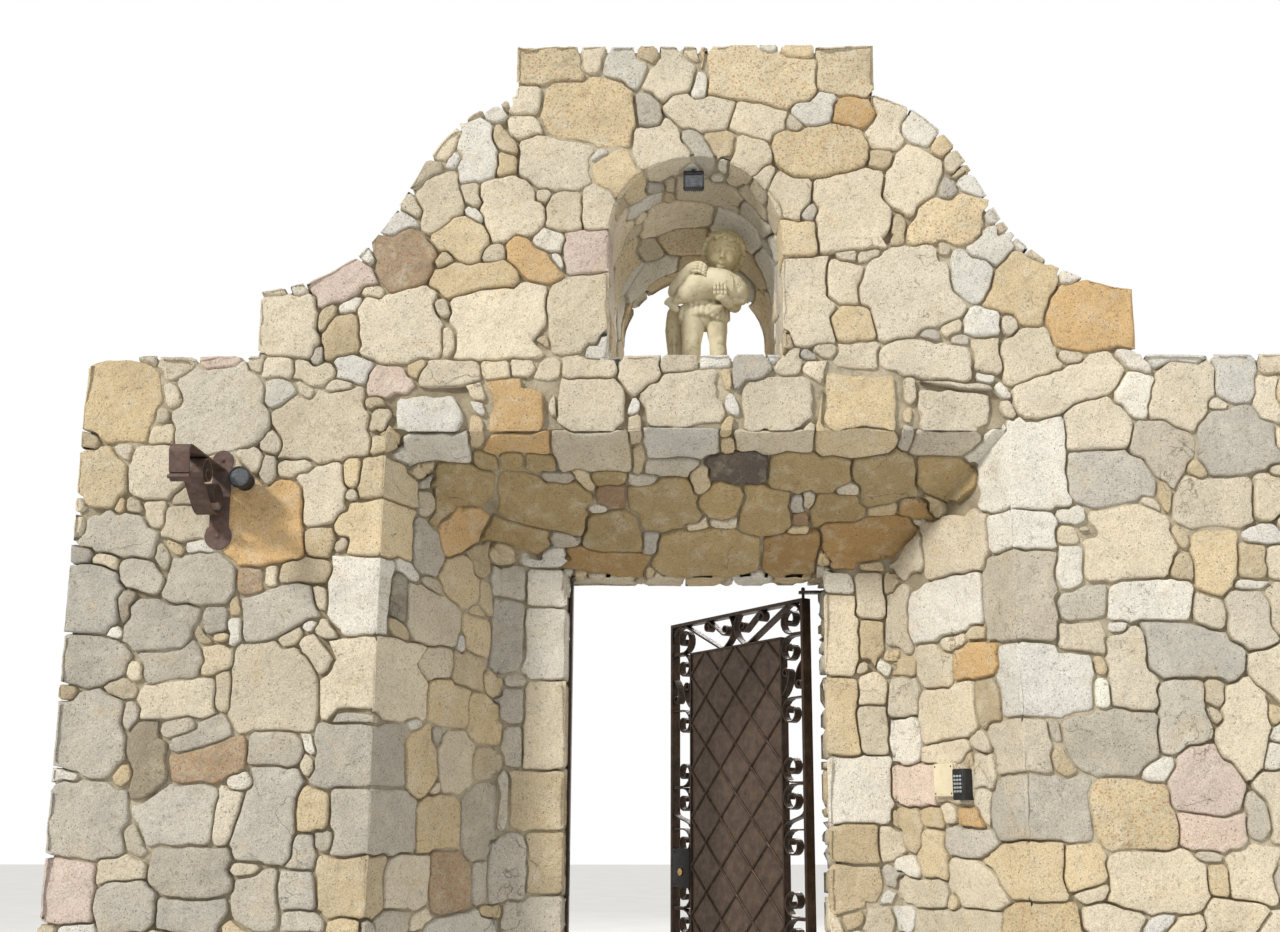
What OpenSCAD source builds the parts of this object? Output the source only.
// Rubble stone gateway with a splayed portal, a curved gable with a niche,
// and a wrought iron gate leaf that swings inward.
// X runs to the right, Y runs into the wall from its front face, Z is up from the ground.

/* [Walls] */
// Half of the gateway's overall width
half_width = 2140; // [1950:10:2600]
// Thickness of the masonry, front to back
wall_thick = 750; // [700:10:1000]
// Height of the side wings
wing_h = 3015; // [2800:5:3400]
// Height of the thin stone course on top of the wings
course_h = 75; // [50:5:120]
// Usual distance from one large stone to the next
stone_pitch = 310; // [260:5:400]
// Width of the joints between the large stones
joint_w = 30; // [22:1:40]
// Depth of the joints
joint_deep = 18; // [10:1:24]
// How far a joint may lean
joint_lean = 9; // [3:1:12]

/* [Portal] */
// Half width of the splayed recess at the front face
recess_half = 1076; // [950:2:1250]
// Half width of the recess at the end of the splay
throat_half = 739; // [640:1:850]
// Depth of the splayed recess
recess_depth = 500; // [350:10:560]
// Half width of the clear passage between the inner piers
passage_half = 485; // [470:1:600]
// Height of the masonry between the recess and the thin course
lintel_h = 204; // [120:2:320]
// Drop of the sloping soffit from the front face to the end of the splay
soffit_drop = 344; // [250:2:420]
// Further drop of the soffit down to the flat head over the passage
head_drop = 70; // [30:1:120]

/* [Gable] */
// Half width of the gable at its foot
gable_half = 1545; // [1350:5:1800]
// Height of the gable's outer ends
gable_end_h = 240; // [150:5:350]
// Half width of the square block at the top
crown_half = 656; // [560:2:720]
// Height of the gable under the square block
gable_rise = 1000; // [900:5:1200]
// Height of the square block
crown_h = 200; // [120:5:300]
// Slope of the curve where it leaves the square block
shoulder_angle = 17; // [0:1:30]
// Slope of the curve where it runs out at the gable's foot
foot_angle = 9; // [0:1:20]
// How far the curve keeps its first slope, as a share of its width
shoulder_hold = 0.58; // [0.4:0.01:0.65]
// How far the curve keeps its last slope, as a share of its width
foot_hold = 0.72; // [0.5:0.01:0.75]

/* [Niche] */
// Half width of the niche at the front face
niche_half = 307; // [260:1:340]
// Height of the niche above its sill at the front face
niche_h = 754; // [680:2:830]
// Half width of the niche at the back face
niche_back_half = 287; // [230:1:320]
// Height of the niche above its sill at the back face
niche_back_h = 596; // [540:2:740]
// Width of the masonry that frames the niche
niche_frame_w = 120; // [90:5:160]

/* [Statue] */
// Place of the statue's axis to the right of the niche's middle
statue_x = 38; // [0:1:80]
// Distance of the statue's axis behind the front face
statue_y = 330; // [280:5:450]
// Height of the statue's base
statue_base_h = 50; // [30:1:80]
// Side of the statue's base
statue_base_w = 250; // [200:5:300]
// Height of the figure on its base
figure_h = 579; // [500:1:620]

/* [Gate leaf] */
// Width of the gate leaf
leaf_w = 885; // [850:1:895]
// Gap between the leaf's top edge and the head over the passage
leaf_top_gap = 60; // [56:1:90]
// Gap under the leaf
leaf_bottom_gap = 70; // [60:1:120]
// Depth of the leaf's flat bars, front to back
bar_depth = 42; // [36:1:46]
// Width of the bars of the outer frame
stile_w = 14; // [13:1:20]
// Depth of the scrolls, braces and panel frame
strip_depth = 34; // [20:1:36]
// Thickness of the bars of the panel's frame
panel_bar = 8; // [5:1:12]
// Thickness of the scrolls' strip
strip_t = 6; // [4:1:8]
// Width of the band of scrolls beside the panel
band_w = 123; // [110:1:130]
// Height of the braces over and under the panel
brace_h = 124; // [110:1:150]
// Thickness of the sheet behind the lattice
sheet_t = 3; // [2:0.5:5]
// Width of the lattice bars
lattice_w = 14; // [8:1:20]
// Thickness of the lattice bars
lattice_t = 6; // [4:1:8]
// Diamonds side by side in the lattice
lattice_cols = 3; // [2:1:5]
// Angle at which the leaf stands open
open_angle = 53.9; // [0:0.1:90]

/* [Hinge and latch] */
// Distance of the hinge axis from the right pier's reveal
hinge_reach = 62; // [56:1:68]
// Distance of the hinge axis from the back of the pier
hinge_back = 77; // [70:1:100]
// Radius of the hinge pins
pin_r = 6; // [5:0.5:6.5]
// Clearance around the hinge pins
pin_gap = 0.05; // [0.02:0.01:0.1]
// Distance from the leaf's front to the pin axis
pin_inset = 12; // [10:1:16]
// Width of the hinge straps
strap_w = 36; // [28:1:40]
// Thickness of the hinge straps
strap_t = 10; // [8:1:12]
// Gap between the leaf and a hinge strap
strap_gap = 18; // [10:1:20]
// Thickness of the latch bar on the left pier
latch_bar_t = 10; // [6:1:12]
// Width of the latch bar
latch_bar_w = 50; // [40:1:60]
// Height of the lock box
lock_h = 162; // [130:1:200]

/* [Wall fittings] */
// Width of the keypad
keypad_w = 53; // [50:1:80]
// Height of the keypad
keypad_h = 107; // [100:1:130]
// Depth of the keypad
keypad_d = 41; // [20:1:45]
// Height of the keypad's lower edge above the ground
keypad_z = 1475; // [1300:1:1600]
// Distance of the keypad from the jamb's front edge
keypad_s = 233; // [200:1:240]
// Gap between the keypad and the plain box
box_gap = 14; // [5:1:20]
// Width of the plain box beside the keypad
box_w = 97; // [80:1:120]
// Height of the plain box
box_h = 116; // [90:1:130]
// Depth of the plain box
box_d = 20; // [12:1:30]
// Distance of the bracket's screws from the outer end of the left wing
bracket_in = 504; // [400:1:700]
// Drop of the bracket's upper screw below the top of the wing
bracket_drop = 386; // [330:1:500]
// Distance between the bracket's two screws
bracket_screws = 268; // [240:1:320]
// Reach of the bracket from the wall
bracket_reach = 328; // [300:1:360]
// Width of the bracket's strap
bracket_w = 65; // [50:1:70]
// Thickness of the bracket's strap
bracket_t = 6; // [4:1:8]
// Radius of the bracket plate's upper end
lobe_r = 36; // [30:1:42]
// Radius of the bracket plate's lower end
foot_lobe_r = 46; // [36:1:56]
// Radius of the spotlight
spot_r = 37; // [30:1:42]
// Length of the spotlight
spot_l = 72; // [50:1:90]
// Width of the niche's floodlight
flood_w = 76; // [60:1:90]
// Height of the floodlight
flood_h = 60; // [45:1:75]
// Depth of the floodlight
flood_d = 52; // [40:1:70]

/* [Hidden] */

stone = "wheat";
iron = "#4a3b30";
dark = "#20201f";
carved = "#b9ad97";
glass = "lightblue";

// Extra length of cuts that go right through
cut = 1;
// Slit between pieces that lie against each other without being joined
slit = 0.1;

// Heights of the portal, from the top of the wings down
course_z = wing_h - course_h;
recess_h = course_z - lintel_h;
throat_h = recess_h - soffit_drop;
head_h = throat_h - head_drop;
// Depth at which the sloping soffit meets the flat head
flat_y = recess_depth * (soffit_drop + head_drop) / soffit_drop;
// Heights of the gable
crown_z = wing_h + gable_rise;
gable_end_z = wing_h + gable_end_h;
// Outer edge of the masonry that frames the niche
frame_half = niche_half + niche_frame_w;

// Hinge axis
hinge_x = passage_half - hinge_reach;
hinge_y = wall_thick - hinge_back;
// Leaf, measured from the hinge axis towards the latch
leaf_top = head_h - leaf_top_gap;
leaf_bottom = leaf_bottom_gap;
leaf_x0 = stile_w / 2;
leaf_x1 = leaf_x0 - leaf_w;
leaf_mid = (leaf_x0 + leaf_x1) / 2;
leaf_front = -pin_inset;
strip_front = leaf_front + (bar_depth - strip_depth) / 2;
panel_half = leaf_w / 2 - stile_w - band_w;
panel_z0 = leaf_bottom + stile_w + brace_h;
panel_z1 = leaf_top - stile_w - brace_h;

// Points of an arc about c with radius r
function arc(c, r, a0, a1, n) =
    [for (i = [0 : n]) let (a = a0 + (a1 - a0) * i / n) [c[0] + r * cos(a), c[1] + r * sin(a)]];
// Points of a spiral whose radius runs from r0 to r1
function spiral(c, r0, r1, a0, a1, n) =
    [for (i = [0 : n]) let (s = i / n, a = a0 + (a1 - a0) * s, r = r0 * pow(r1 / r0, s))
        [c[0] + r * cos(a), c[1] + r * sin(a)]];
// Points of a curve that leaves p0 towards p1 and reaches p3 from p2
function bent(p0, p1, p2, p3, n) =
    [for (i = [0 : n]) let (s = i / n, t = 1 - s)
        t * t * t * p0 + 3 * t * t * s * p1 + 3 * t * s * s * p2 + s * s * s * p3];
function reversed(p) = [for (i = [len(p) - 1 : -1 : 0]) p[i]];
function upside_down(p) = [for (q = p) [q[0], -q[1]]];
// Outline of a strip of thickness t that follows points along its middle line
function sideways(p, i) =
    let (d = p[min(i + 1, len(p) - 1)] - p[max(i - 1, 0)]) [-d[1], d[0]] / norm(d);
function strip(p, t) = concat(
    [for (i = [0 : len(p) - 1]) p[i] + sideways(p, i) * t / 2],
    [for (i = [len(p) - 1 : -1 : 0]) p[i] - sideways(p, i) * t / 2]
);

// Outline given in Y and Z, pushed out along X from x0 to x1
module across(x0, x1) {
    translate([x0, 0, 0]) rotate([90, 0, 90]) linear_extrude(x1 - x0) children();
}

// Outline given in X and Z, pushed back along Y from y0 to y1
module back_from(y0, y1) {
    translate([0, y1, 0]) rotate([90, 0, 0]) linear_extrude(y1 - y0) children();
}

// The right side as drawn, or its mirror image on the left
module on_side(side) {
    mirror([side < 0 ? 1 : 0, 0, 0]) children();
}

// Masonry

// Joints between the large stones on a face, as an outline in X and Z. The courses rise and
// fall a little, and the upright joints lean and are staggered.
function uneven(i, j) = sin(137 * i + 71 * j);
module stone_joints(x0, x1, z0, z1) {
    courses = max(2, round((z1 - z0) / stone_pitch));
    course = (z1 - z0) / courses;
    stones = max(2, round((x1 - x0) / stone_pitch));
    along = (x1 - x0) / stones;
    stagger = 0.28;
    for (i = [0 : courses - 1]) {
        if (i > 0)
            translate([(x0 + x1) / 2, z0 + i * course + joint_w * uneven(i, 3) / 2])
                rotate(joint_lean * uneven(i, 1) / 8)
                    square([2 * (x1 - x0), joint_w], center = true);
        for (j = [1 : stones - 1])
            translate([x0 + (j + stagger * (i % 2 == 0 ? 1 : -1)) * along + joint_w * uneven(i, j),
                       z0 + (i + 0.5) * course])
                rotate(joint_lean * uneven(j, i))
                    square([joint_w, course + joint_w / 3], center = true);
    }
}

// Cuts with this outline in the front and in the back of the wall
module cut_both_sides() {
    back_from(-cut, joint_deep) children();
    back_from(wall_thick - joint_deep, wall_thick + cut) children();
}

module lintel_form(x_half, top) {
    across(-x_half, x_half)
        polygon([[0, recess_h], [0, top], [wall_thick, top], [wall_thick, head_h],
                 [flat_y, head_h]]);
}

module wing_wall(side) {
    color(stone) on_side(side) difference() {
        translate([recess_half, 0, 0]) cube([half_width - recess_half, wall_thick, course_z]);
        cut_both_sides() difference() {
            stone_joints(recess_half, half_width, 0, course_z);
            // the stone that carries the bracket
            if (side < 0) translate([-bracket_x, bracket_z + bracket_screws / 2])
                square([2 * plate_w, bracket_screws + 4 * lobe_r], center = true);
        }
    }
}

module jamb(side) {
    color(stone) on_side(side) difference() {
        linear_extrude(recess_h)
            polygon([[recess_half, 0], [recess_half, wall_thick], [throat_half, wall_thick],
                     [throat_half, recess_depth]]);
        lintel_form(recess_half + cut, recess_h + cut);
    }
}

module pier(side) {
    color(stone) on_side(side) difference() {
        translate([passage_half, recess_depth, 0])
            cube([throat_half - passage_half, wall_thick - recess_depth, throat_h]);
        lintel_form(recess_half, recess_h);
    }
}

module portal_lintel() {
    color(stone) lintel_form(recess_half, course_z);
}

module coping(side) {
    color(stone) on_side(side) translate([gable_half, 0, course_z])
        cube([half_width - gable_half, wall_thick, course_h]);
}

module gable_course() {
    color(stone) translate([-gable_half, 0, course_z])
        cube([2 * gable_half, wall_thick, course_h]);
}

// The curve from the square block down to the gable's foot
gable_run = gable_half - crown_half;
shoulder_l = gable_run * shoulder_hold;
foot_l = gable_run * foot_hold;
gable_steps = 14;
gable_curve = bent(
    [crown_half, crown_z],
    [crown_half + shoulder_l * cos(shoulder_angle), crown_z - shoulder_l * sin(shoulder_angle)],
    [gable_half - foot_l * cos(foot_angle), gable_end_z + foot_l * sin(foot_angle)],
    [gable_half, gable_end_z],
    gable_steps
);

module gable_side(side) {
    color(stone) on_side(side) difference() {
        back_from(0, wall_thick)
            polygon(concat([[gable_half, wing_h], [frame_half, wing_h], [frame_half, crown_z]],
                           gable_curve));
        cut_both_sides() stone_joints(frame_half, gable_half, wing_h, crown_z);
    }
}

module crown_block() {
    color(stone) translate([-crown_half, 0, crown_z]) cube([2 * crown_half, wall_thick, crown_h]);
}

// Outline of a round arch that stands on the sill
module arch_outline(half, h) {
    polygon(concat([[half, wing_h]], arc([0, wing_h + h - half], half, 0, 180, 16),
                   [[-half, wing_h]]));
}

module niche_arch() {
    color(stone) difference() {
        translate([-frame_half, 0, wing_h]) cube([2 * frame_half, wall_thick, gable_rise]);
        translate([0, 0, -cut]) hull() {
            back_from(-cut, 0) arch_outline(niche_half, niche_h + cut);
            back_from(wall_thick, wall_thick + cut)
                arch_outline(niche_back_half, niche_back_h + cut);
        }
        cut_both_sides() stone_joints(-frame_half, frame_half, wing_h, crown_z);
    }
}

// Statue: a standing child that holds a large fish

module statue_base() {
    color(carved) translate([statue_x - statue_base_w / 2, statue_y - statue_base_w / 2, wing_h])
        cube([statue_base_w, statue_base_w, statue_base_h]);
}

// Round-ended limb between two points, all in hundredths of the figure's height
module limb(p, rp, q, rq) {
    hull() {
        translate(p) sphere(rp, $fn = 20);
        translate(q) sphere(rq, $fn = 20);
    }
}

module legs() {
    limb([-10.5, 0, 4], 6.8, [-8.5, -1, 36], 7.8);
    limb([8.5, 1, 4], 5.6, [6.5, 0, 36], 7);
}

module trunk() {
    limb([-1, 1, 38], 10.5, [1, 2, 58], 10.5);
    limb([-13, 2, 61], 6.2, [13, 3, 58], 6.2);
    limb([5, 1, 64], 6.5, [9, 0, 73], 7);
}

module head() {
    translate([13.4, -1, 83.8]) rotate([0, 12, 0]) scale([12.8, 13.5, 16.4]) sphere(1, $fn = 28);
}

module arms() {
    limb([-18, 0, 61], 5.6, [-22, -4, 50], 5.2);
    limb([-22, -4, 51], 5, [-8, -12, 60], 4.2);
    limb([16, 2, 57], 5.6, [20, -2, 45], 5);
    limb([20, -2, 45], 4.8, [12, -14, 42], 4.2);
}

module fish() {
    limb([-25, -7, 42], 2.8, [-16, -9, 48], 5.6);
    limb([-14, -10, 50], 7.2, [0, -12, 54], 10.5);
    limb([0, -12, 54], 10.5, [12, -12, 50], 10.2);
    limb([12, -12, 50], 10.2, [23, -12, 45], 5.6);
}

module stump() {
    limb([-17, 8, 6], 7.5, [-18, 8, 42], 6.4);
}

module statue_figure() {
    color(carved) translate([statue_x, statue_y, wing_h + statue_base_h])
        scale(figure_h / 100) intersection() {
            translate([-40, -40, 0]) cube([80, 80, 100]);
            union() {
                legs();
                trunk();
                head();
                arms();
                fish();
                stump();
            }
        }
}

// Small floodlight under the crown of the niche, which falls towards the back

flood_x = -6;
flood_y = 45;
flood_wall = 4;
flood_glass_t = 4;
flood_stem_r = 9;
flood_stem_h = 22;
flood_stem_y = flood_y + flood_d / 2;
crown_fall = (niche_h - niche_back_h) / wall_thick;
stem_top = wing_h + niche_h - crown_fall * (flood_stem_y + flood_stem_r) - 1;
flood_z = stem_top - flood_stem_h - flood_h;

module floodlight_body() {
    color(dark) difference() {
        union() {
            translate([flood_x - flood_w / 2, flood_y, flood_z]) cube([flood_w, flood_d, flood_h]);
            translate([flood_x, flood_stem_y, flood_z])
                cylinder(h = flood_h + flood_stem_h, r = flood_stem_r, $fn = 24);
        }
        translate([flood_x - flood_w / 2 + flood_wall, flood_y - cut, flood_z + flood_wall])
            cube([flood_w - 2 * flood_wall, 2 * flood_glass_t + cut, flood_h - 2 * flood_wall]);
    }
}

module floodlight_glass() {
    color(glass)
        translate([flood_x - flood_w / 2 + flood_wall, flood_y + flood_glass_t,
                   flood_z + flood_wall])
            cube([flood_w - 2 * flood_wall, flood_glass_t, flood_h - 2 * flood_wall]);
}

// Fittings on the right jamb

jamb_angle = atan2(recess_depth, throat_half - recess_half);

module on_jamb(s, z) {
    translate([recess_half, 0, 0]) rotate([0, 0, jamb_angle]) translate([s, 0, z]) children();
}

key_cols = 3;
key_rows = 5;
key_w = 9;
key_h = 7;
key_step_x = 14;
key_step_z = 13;
key_t = 2;
// Height left free over the keys
key_top = 22;
// The plain box hangs a little higher than the keypad
box_lift = 17;

module keypad_body() {
    color(dark) on_jamb(keypad_s, keypad_z) cube([keypad_w, keypad_d, keypad_h]);
}

module keypad_keys() {
    color("gray") on_jamb(keypad_s, keypad_z)
        for (i = [0 : key_cols - 1], j = [0 : key_rows - 1])
            translate([keypad_w / 2 + (i - (key_cols - 1) / 2) * key_step_x - key_w / 2, keypad_d,
                       keypad_h - key_top - key_h - j * key_step_z])
                cube([key_w, key_t, key_h]);
}

module junction_box() {
    color("tan") on_jamb(keypad_s + keypad_w + box_gap,
                         keypad_z + (keypad_h - box_h) / 2 + box_lift)
        cube([box_w, box_d, box_h]);
}

// Bracket and spotlight on the left wing

bracket_x = bracket_in - half_width;
bracket_top = wing_h - bracket_drop;
bracket_z = bracket_top - bracket_screws;
screw_r = 4;
plate_w = 1.8 * lobe_r;

module bracket_plate() {
    color(iron) translate([bracket_x, 0, bracket_z]) difference() {
        union() {
            translate([0, 0, bracket_screws]) rotate([90, 0, 0])
                cylinder(h = bracket_t, r = lobe_r, $fn = 48);
            rotate([90, 0, 0]) cylinder(h = bracket_t, r = foot_lobe_r, $fn = 48);
            translate([-plate_w / 2, -bracket_t, 0]) cube([plate_w, bracket_t, bracket_screws]);
        }
        for (z = [0, bracket_screws])
            translate([0, cut, z]) rotate([90, 0, 0])
                cylinder(h = bracket_t + 2 * cut, r = screw_r, $fn = 24);
    }
}

// The strap lies a little to the left of the screws
strap_dx = -22;
strap_x0 = bracket_x + strap_dx - bracket_w / 2;
strap_x1 = strap_x0 + bracket_w;

module bracket_strap(points) {
    across(strap_x0, strap_x1) polygon(strip(points, bracket_t));
}

// Arm, bent down at its end around a round bar
arm_z = bracket_top - 33;
arm_bend_r = 25;
arm_bend = [arm_bend_r + bracket_t / 2 - bracket_reach, arm_z - arm_bend_r];
arm_end = [arm_bend[0] - 14, arm_z - 94];
arm_bar_r = 17;

module bracket_arm() {
    color(iron) {
        bracket_strap(concat([[-bracket_t, arm_z]], arc(arm_bend, arm_bend_r, 90, 185, 6),
                             [arm_end]));
        translate([strap_x0, arm_end[0] + arm_bar_r, arm_end[1] - arm_bar_r / 2])
            rotate([0, 90, 0]) cylinder(h = bracket_w, r = arm_bar_r, $fn = 32);
    }
}

// Scroll with a curl against the arm and a larger one against the plate
small_curl_r = 48;
small_curl = [-157, arm_z - bracket_t - small_curl_r - slit];
large_curl_r = 60;
large_curl = [-1.5 * bracket_t - large_curl_r - slit, small_curl[1] - 57];
curl_gap = large_curl - small_curl;
curl_bend = 360 + atan2(curl_gap[1], curl_gap[0])
    - acos((small_curl_r - large_curl_r) / norm(curl_gap));

module bracket_scroll() {
    color(iron) bracket_strap(concat(
        spiral(small_curl, 12, small_curl_r, -270, 90, 14),
        arc(small_curl, small_curl_r, 110, curl_bend, 6),
        arc(large_curl, large_curl_r, curl_bend, 360, 6),
        spiral(large_curl, large_curl_r - 2, 15, 380, 690, 12)
    ));
}

spot_dx = 91;
spot_rise = 186;
spot_foot_r = 14;
spot_foot_l = 26;
spot_wall = 4;
spot_sink = 8;
spot_glass_t = 4;

module spotlight_body() {
    color(dark) translate([bracket_x + spot_dx, 0, bracket_z + spot_rise]) rotate([90, 0, 0])
        difference() {
            union() {
                cylinder(h = spot_foot_l + spot_wall, r = spot_foot_r, $fn = 32);
                translate([0, 0, spot_foot_l]) cylinder(h = spot_l, r = spot_r, $fn = 48);
            }
            translate([0, 0, spot_foot_l + spot_l - spot_sink])
                cylinder(h = spot_sink + cut, r = spot_r - spot_wall, $fn = 48);
        }
}

module spotlight_lens() {
    color(glass)
        translate([bracket_x + spot_dx, spot_sink - spot_foot_l - spot_l, bracket_z + spot_rise])
            rotate([90, 0, 0]) cylinder(h = spot_glass_t, r = spot_r - spot_wall - slit, $fn = 48);
}

// Gate leaf, drawn closed around the hinge axis and turned to where it stands open

module leaf_place() {
    translate([hinge_x, hinge_y, 0]) rotate([0, 0, -open_angle]) children();
}

module stile(x) {
    color(iron) leaf_place() translate([x, leaf_front, leaf_bottom])
        cube([stile_w, bar_depth, leaf_top - leaf_bottom]);
}

module rail(z) {
    color(iron) leaf_place() translate([leaf_x1 + stile_w, leaf_front, z])
        cube([leaf_w - 2 * stile_w, bar_depth, stile_w]);
}

module panel_area(y0, y1, inset) {
    translate([leaf_mid - panel_half + inset, y0, panel_z0 + inset])
        cube([2 * (panel_half - inset), y1 - y0, panel_z1 - panel_z0 - 2 * inset]);
}

module panel_frame() {
    color(iron) leaf_place() difference() {
        panel_area(strip_front, strip_front + strip_depth, 0);
        panel_area(strip_front - cut, strip_front + strip_depth + cut, panel_bar);
    }
}

module panel_sheet() {
    color(iron) leaf_place()
        panel_area(strip_front + lattice_t, strip_front + lattice_t + sheet_t, panel_bar);
}

// The lattice's bars cross at the middle of the panel's top edge
lattice_dx = 2 * panel_half / lattice_cols;
lattice_rows = round(2 * (panel_z1 - panel_z0) / lattice_dx);
lattice_dz = 2 * (panel_z1 - panel_z0) / lattice_rows;
lattice_slope = atan2(lattice_dz, lattice_dx);
lattice_l = 2 * (panel_half + lattice_w) / cos(lattice_slope);

module lattice() {
    color(iron) leaf_place() intersection() {
        panel_area(strip_front, strip_front + lattice_t, panel_bar);
        for (i = [-lattice_cols : ceil(lattice_rows / 2) + lattice_cols], lean = [-1, 1])
            translate([leaf_mid, strip_front, panel_z1 - i * lattice_dz])
                rotate([0, lean * lattice_slope, 0])
                    translate([-lattice_l / 2, 0, -lattice_w / 2])
                        cube([lattice_l, lattice_t, lattice_w]);
    }
}

// Scrolls beside the panel, drawn with x from the panel's edge to the stile.
// A curl starts with a tail on the stile, touches the panel and coils in.

curl_turn = 450;
curl_k = 0.143;
curl_steps = 20;
curl_r = (band_w - strip_t) / (1 + exp(-curl_k * PI));
curl_top = curl_r * exp(-curl_k * PI / 2);
curl_low = curl_r * exp(-curl_k * PI * 3 / 2);
curl_end = curl_top * exp(-curl_k * curl_turn * PI / 180);
curl_x = curl_r * exp(-curl_k * PI) + strip_t / 2 + slit;
// Drop of the tail from the stile to the curl
tail_drop = 1;
curl_path = concat([[band_w - slit, curl_top + tail_drop]],
                   spiral([curl_x, 0], curl_top, curl_end, 90, 90 + curl_turn, curl_steps));
curl_up_h = curl_top + strip_t / 2 + tail_drop;
curl_h = curl_up_h + curl_low + strip_t / 2;

// Curl with its tail at the top, whose upper edge is at z
module curl_down(z) {
    translate([0, z - curl_up_h]) polygon(strip(curl_path, strip_t));
}

// Curl with its tail at the bottom, whose lower edge is at z
module curl_up(z) {
    translate([0, z + curl_up_h]) polygon(strip(reversed(upside_down(curl_path)), strip_t));
}

module curl_pair(z) {
    curl_up(z - curl_h + slit);
    curl_down(z - curl_h - slit);
}

// Two small hooks, one from the panel and one from the stile, turned half round each other
hook_link_h = 144;
hook_r = 20;
hook_end_r = 9;
hook_drop = 48;
hook_tail_h = 88;
hook_tail_w = 2 * hook_r + 0.8;
hook_bend = 2 * atan2(hook_tail_w, hook_tail_h);
hook_tail_r = hook_tail_h / sin(hook_bend);
hook_c = [hook_r + strip_t / 2 + slit, -hook_drop];
hook_path = concat(
    spiral(hook_c, hook_end_r, hook_r, 450, 15, 16),
    arc(hook_c + [hook_r - hook_tail_r, 0], hook_tail_r, 0, -hook_bend, 6)
);

module hook_link(z) {
    translate([0, z]) polygon(strip(hook_path, strip_t));
    translate([band_w, z - hook_link_h]) rotate(180) polygon(strip(hook_path, strip_t));
}

// Slanting bar from the stile down to the panel
bar_link_h = 72;
bar_link_path = bent(
    [band_w - slit - strip_t / 2, -strip_t], [band_w - strip_t, -bar_link_h / 2],
    [strip_t, -bar_link_h / 2], [strip_t / 2 + slit, strip_t - bar_link_h], 8
);

module bar_link(z) {
    translate([0, z]) polygon(strip(bar_link_path, strip_t));
}

// Each group is a pair of curls, a link and a single curl. The top one has the hooks.
group_gap = 133;
group_drop = 21;
top_group_z = leaf_top - stile_w - group_drop;
next_group_z = top_group_z - 3 * curl_h - hook_link_h - group_gap;
group_h = 3 * curl_h + bar_link_h;
group_step = group_h + group_gap;
groups = 1 + floor((next_group_z - group_h - leaf_bottom - stile_w) / group_step);
// The lock box stands in the gap under the first of the lower groups
lock_z = next_group_z - group_h - (group_gap + lock_h) / 2;

module scroll_band() {
    curl_pair(top_group_z);
    hook_link(top_group_z - 2 * curl_h);
    curl_down(top_group_z - 2 * curl_h - hook_link_h);
    for (g = [0 : groups - 1]) translate([0, next_group_z - g * group_step]) {
        curl_pair(0);
        bar_link(-2 * curl_h);
        curl_down(-2 * curl_h - bar_link_h);
    }
}

module scrolls_place(side) {
    color(iron) leaf_place() translate([leaf_mid, 0, 0]) on_side(side)
        translate([panel_half, 0, 0]) back_from(strip_front, strip_front + strip_depth) children();
}

module hinge_scrolls() {
    scrolls_place(1) scroll_band();
}

module latch_scrolls() {
    scrolls_place(-1) difference() {
        scroll_band();
        translate([-cut, lock_z]) square([band_w + 2 * cut, lock_h]);
    }
}

// Braces over and under the panel, drawn from the middle of the panel's edge

inner_half = leaf_w / 2 - stile_w;
// Slanting bar
brace_bar = 8;
brace_foot = 97;
// How far its upper end reaches over the band of scrolls
brace_over = 41.5;
brace_top = panel_half + brace_over;
brace_run = brace_top - brace_foot;
// Bow beside the middle
bow_foot = 65;
bow_top = 25;
// Strip with a curl at each end, one beside the bow and one under the rail
inner_curl_r = 25;
outer_curl_r = 24;
curl_tip_r = 9;
inner_curl = [60, brace_h - 50];
outer_curl = [178, brace_h - outer_curl_r - strip_t / 2 - slit];
brace_gap = outer_curl - inner_curl;
brace_lean = atan2(brace_gap[1], brace_gap[0])
    - acos((inner_curl_r + outer_curl_r) / norm(brace_gap));
brace_curls = concat(
    spiral(inner_curl, curl_tip_r, inner_curl_r, brace_lean - 420, brace_lean, 18),
    arc(outer_curl, outer_curl_r, brace_lean + 180, 80, 3),
    spiral(outer_curl, outer_curl_r - 0.5, curl_tip_r, 60, -260, 14)
);
// Quarter round in the corner
corner_r = 56;
corner = [inner_half, brace_h] - (corner_r + strip_t / 2 + slit) * [1, 1];

module brace_outline() {
    for (m = [0, 1]) mirror([m, 0]) {
        intersection() {
            union() {
                polygon(strip([[brace_foot - brace_run, -brace_h],
                               [brace_top + brace_run, 2 * brace_h]], brace_bar));
                polygon(strip(bent([bow_foot + strip_t, -strip_t], [-8.5, brace_h / 3],
                                   [-8, brace_h * 2 / 3], [bow_top + strip_t, brace_h + strip_t],
                                   12), strip_t));
            }
            square([inner_half, brace_h]);
        }
        polygon(strip(brace_curls, strip_t));
        polygon(strip(arc(corner, corner_r, -8, 98, 12), strip_t));
    }
}

module brace(z, flip) {
    color(iron) leaf_place() translate([leaf_mid, 0, z]) mirror([0, 0, flip])
        back_from(strip_front, strip_front + strip_depth) brace_outline();
}

// Lock box with a cylinder on each face

lock_inset = 2;
cylinder_r = 15;
cylinder_out = 8;
// Height of the cylinder as a share of the box's height
cylinder_rise = 0.4;

module lock_box() {
    color(dark) leaf_place() translate([leaf_x1 + stile_w, leaf_front + lock_inset, lock_z])
        cube([band_w, bar_depth - 2 * lock_inset, lock_h]);
}

module lock_cylinder() {
    color("darkgoldenrod") leaf_place()
        translate([leaf_x1 + stile_w + band_w / 2, 0, lock_z + lock_h * cylinder_rise])
            for (y = [leaf_front + lock_inset, leaf_front + bar_depth - lock_inset + cylinder_out])
                translate([0, y, 0]) rotate([90, 0, 0])
                    cylinder(h = cylinder_out, r = cylinder_r, $fn = 36);
}

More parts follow.
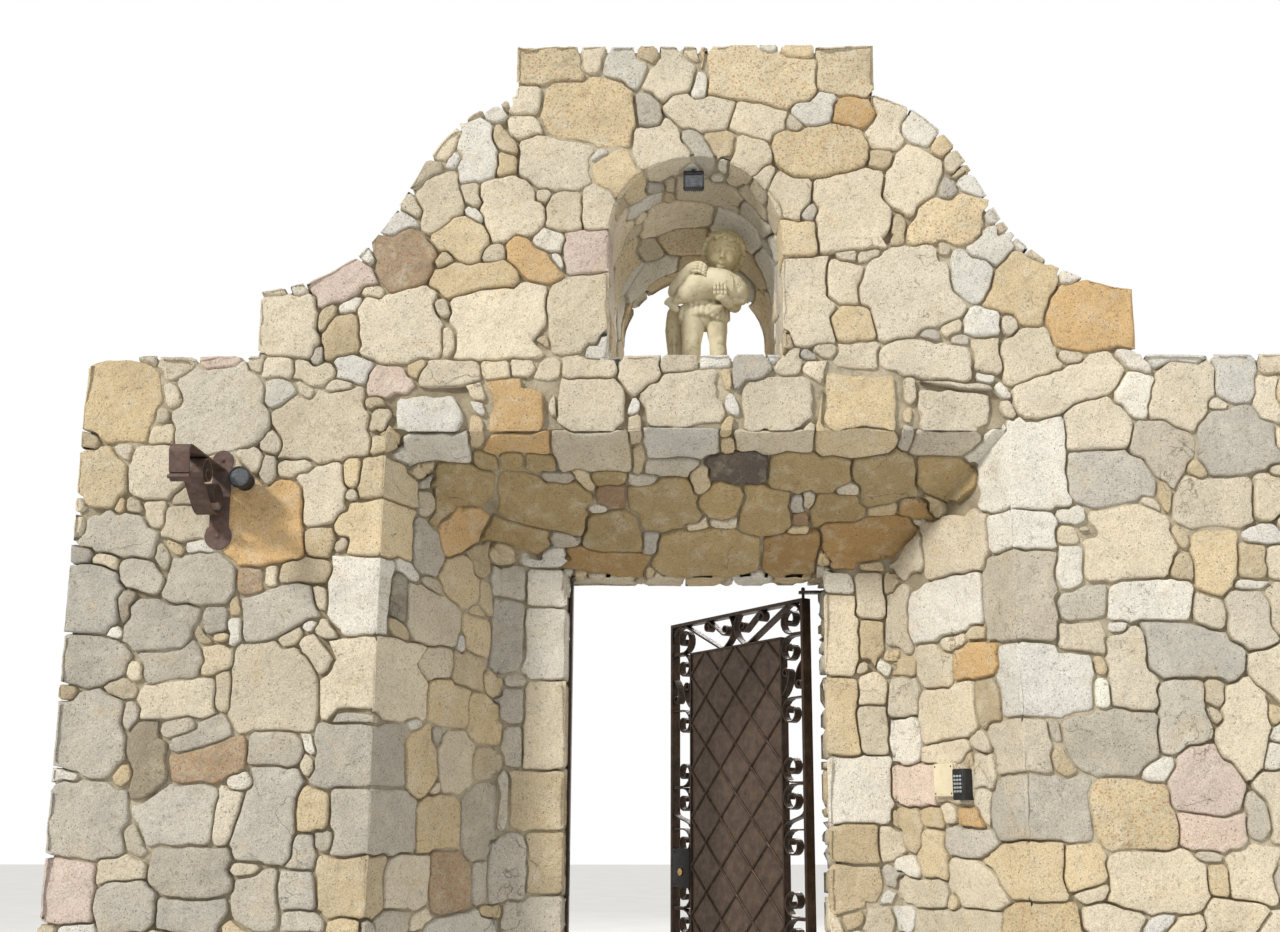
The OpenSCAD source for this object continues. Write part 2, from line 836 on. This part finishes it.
// Iron bar and strike on the left pier's reveal

latch_bar_y = hinge_y - pin_inset - 8 - latch_bar_w / 2;
strike_w = 24;
strike_sink = 3;
strike_slot_w = 10;
strike_slot_h = 44;

module latch_bar() {
    color(iron) difference() {
        translate([-passage_half, latch_bar_y, 0]) cube([latch_bar_t, latch_bar_w, head_h]);
        translate([-passage_half - cut, latch_bar_y + (latch_bar_w - strike_w) / 2, lock_z])
            cube([latch_bar_t + 2 * cut, strike_w, lock_h]);
    }
}

module strike_plate() {
    color(dark) translate([-passage_half, latch_bar_y + (latch_bar_w - strike_w) / 2, lock_z])
        difference() {
            cube([latch_bar_t - strike_sink, strike_w, lock_h]);
            translate([-cut, (strike_w - strike_slot_w) / 2, (lock_h - strike_slot_h) / 2])
                cube([latch_bar_t + cut, strike_slot_w, strike_slot_h]);
        }
}

// Hinge straps in the right pier's reveal, each with a bore for the leaf's pin

top_strap_z = leaf_top + strap_gap;
bottom_strap_z = leaf_bottom - strap_gap - strap_t;
pin_out = 8;
knob_r = 8;

module hinge_strap(z) {
    color(iron) translate([hinge_x, hinge_y, z]) difference() {
        union() {
            cylinder(h = strap_t, r = strap_w / 2, $fn = 48);
            translate([0, -strap_w / 2, 0]) cube([hinge_reach, strap_w, strap_t]);
        }
        translate([0, 0, -cut]) cylinder(h = strap_t + 2 * cut, r = pin_r + pin_gap, $fn = 48);
    }
}

module top_pivot() {
    color(iron) leaf_place() {
        translate([0, 0, leaf_top])
            cylinder(h = strap_gap + strap_t + pin_out, r = pin_r, $fn = 48);
        translate([0, 0, top_strap_z + strap_t + pin_out]) sphere(knob_r, $fn = 32);
    }
}

module bottom_pivot() {
    color(iron) leaf_place() translate([0, 0, bottom_strap_z - pin_out])
        cylinder(h = strap_gap + strap_t + pin_out, r = pin_r, $fn = 48);
}

wing_wall(-1);  // left_wing_wall
wing_wall(1);  // right_wing_wall
jamb(-1);  // left_jamb
jamb(1);  // right_jamb
pier(-1);  // left_pier
pier(1);  // right_pier
portal_lintel();
coping(-1);  // left_coping
coping(1);  // right_coping
gable_course();
gable_side(-1);  // gable_left
gable_side(1);  // gable_right
niche_arch();
crown_block();
statue_base();
statue_figure();
floodlight_body();
floodlight_glass();
keypad_body();
keypad_keys();
junction_box();
bracket_plate();
bracket_arm();
bracket_scroll();
spotlight_body();
spotlight_lens();
latch_bar();
strike_plate();
hinge_strap(top_strap_z);  // top_hinge_strap
hinge_strap(bottom_strap_z);  // bottom_hinge_strap
stile(leaf_x0 - stile_w);  // hinge_stile
stile(leaf_x1);  // latch_stile
rail(leaf_top - stile_w);  // top_rail
rail(leaf_bottom);  // bottom_rail
panel_frame();
panel_sheet();
lattice();
hinge_scrolls();
latch_scrolls();
brace(panel_z1, 0);  // top_brace
brace(panel_z0, 1);  // bottom_brace
lock_box();
lock_cylinder();
top_pivot();
bottom_pivot();
